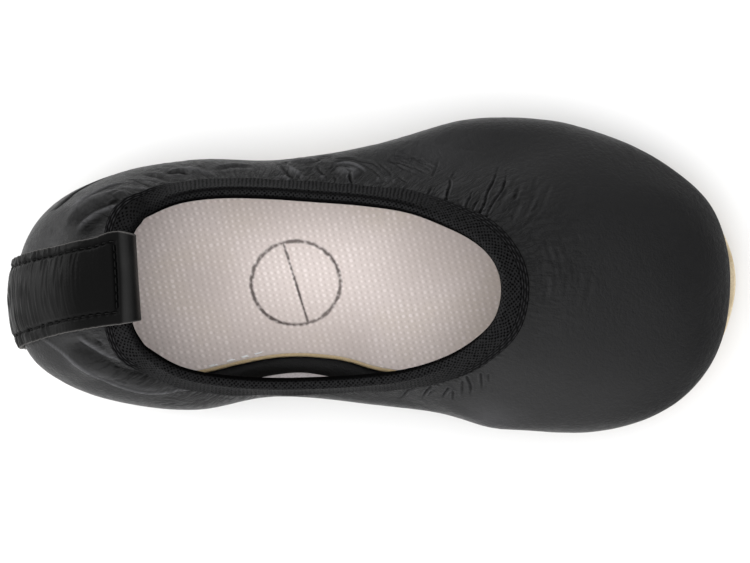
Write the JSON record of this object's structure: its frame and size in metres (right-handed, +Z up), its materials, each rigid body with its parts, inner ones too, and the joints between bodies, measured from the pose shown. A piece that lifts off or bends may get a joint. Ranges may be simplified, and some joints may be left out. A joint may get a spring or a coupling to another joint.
{
  "type": "gymnastics shoe",
  "caption": "Child's soft black leather gymnastics slipper for the left foot, with an elastic bound collar, a heel pull tab, a woven insole and a thin tan sole.",
  "frame": {"origin": "on the floor, under the middle of the shoe's box", "axes": "+X from heel to toe, +Y to the lateral side, +Z up"},
  "size_m": [0.168, 0.0728, 0.0404],
  "materials": {
    "sole_tan": "matte, fine grain",
    "insole_textile": "plain weave",
    "upper_leather": "soft satin grain",
    "binding_elastic": "ribbed matte tape",
    "tab_leather": "satin, stitched"
  },
  "bodies": {
    "root": {"outsole": "sole_tan", "insole": "insole_textile", "upper": "upper_leather", "collar_binding": "binding_elastic", "pull_tab": "tab_leather"}
  },
  "joints": []
}
